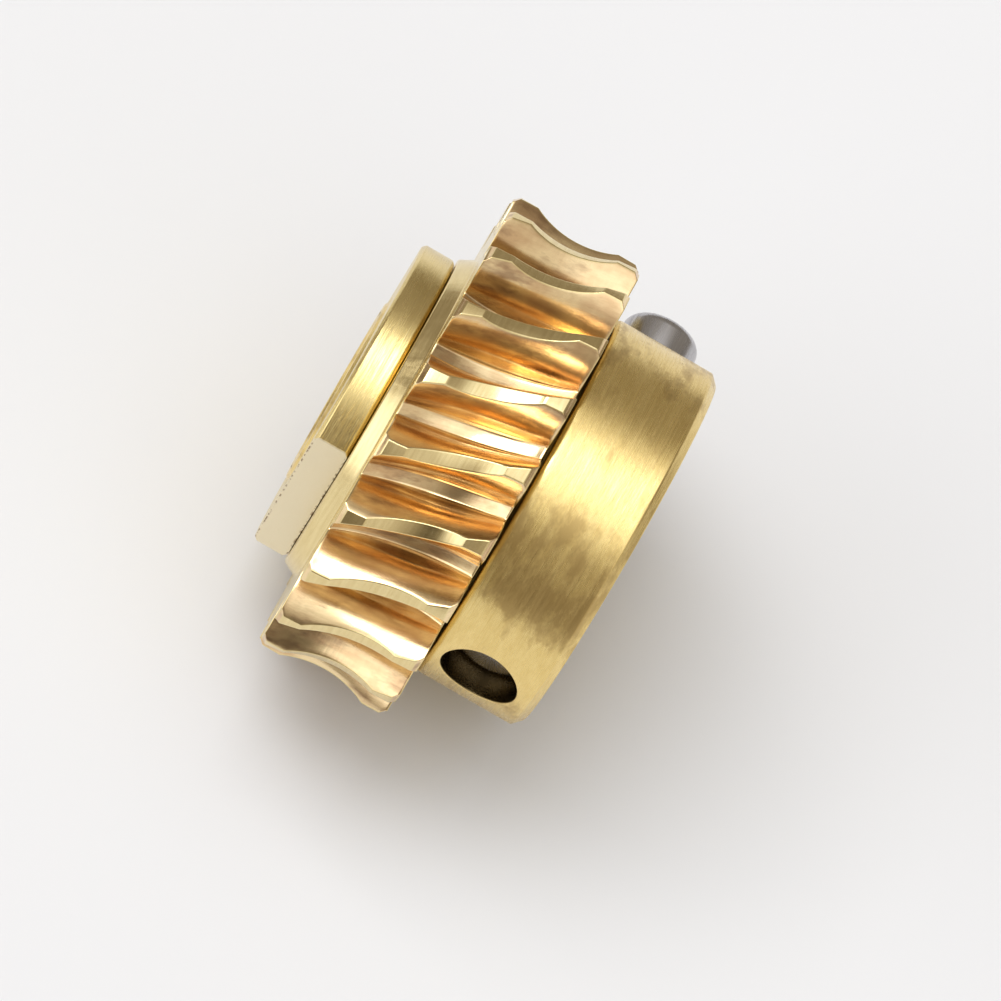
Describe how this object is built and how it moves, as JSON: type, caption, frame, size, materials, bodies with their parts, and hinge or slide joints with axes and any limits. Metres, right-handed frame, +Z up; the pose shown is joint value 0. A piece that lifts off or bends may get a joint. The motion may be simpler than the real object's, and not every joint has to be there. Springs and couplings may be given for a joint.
{
  "type": "worm wheel",
  "caption": "Throated worm wheel on a flanged hub sleeve, held by a ring nut with spanner flats, with a shaft bore and a steel cross pin through the hub collar.",
  "frame": {"origin": "centre of the shaft bore on the middle plane of the toothed rim", "axes": "+Y along the bore axis towards the hub collar; X along the cross pin, whose proud end is at -X; +Z up as the wheel lies on its rim"},
  "size_m": [0.0344, 0.0219, 0.0344],
  "materials": {
    "hub_brass": "brushed",
    "wheel_bronze": "machined",
    "ring_brass": "turned",
    "pin_steel": "ground"
  },
  "bodies": {
    "hub": {"hub_sleeve": "hub_brass"},
    "wheel": {"worm_wheel": "wheel_bronze"},
    "ring": {"ring_nut": "ring_brass"},
    "pin": {"cross_pin": "pin_steel"}
  },
  "joints": [
    {"name": "wheel_turn", "type": "hinge", "parent": "hub", "child": "wheel", "pos_m": [0, 0, 0], "axis": [0, 1, 0], "continuous": true},
    {"name": "ring_turn", "type": "hinge", "parent": "hub", "child": "ring", "pos_m": [0, -0.0073, 0], "axis": [0, 1, 0], "continuous": true},
    {"name": "pin_slide", "type": "slide", "parent": "hub", "child": "pin", "axis": [1, 0, 0], "range_m": [-0.017, 0.0025]}
  ]
}
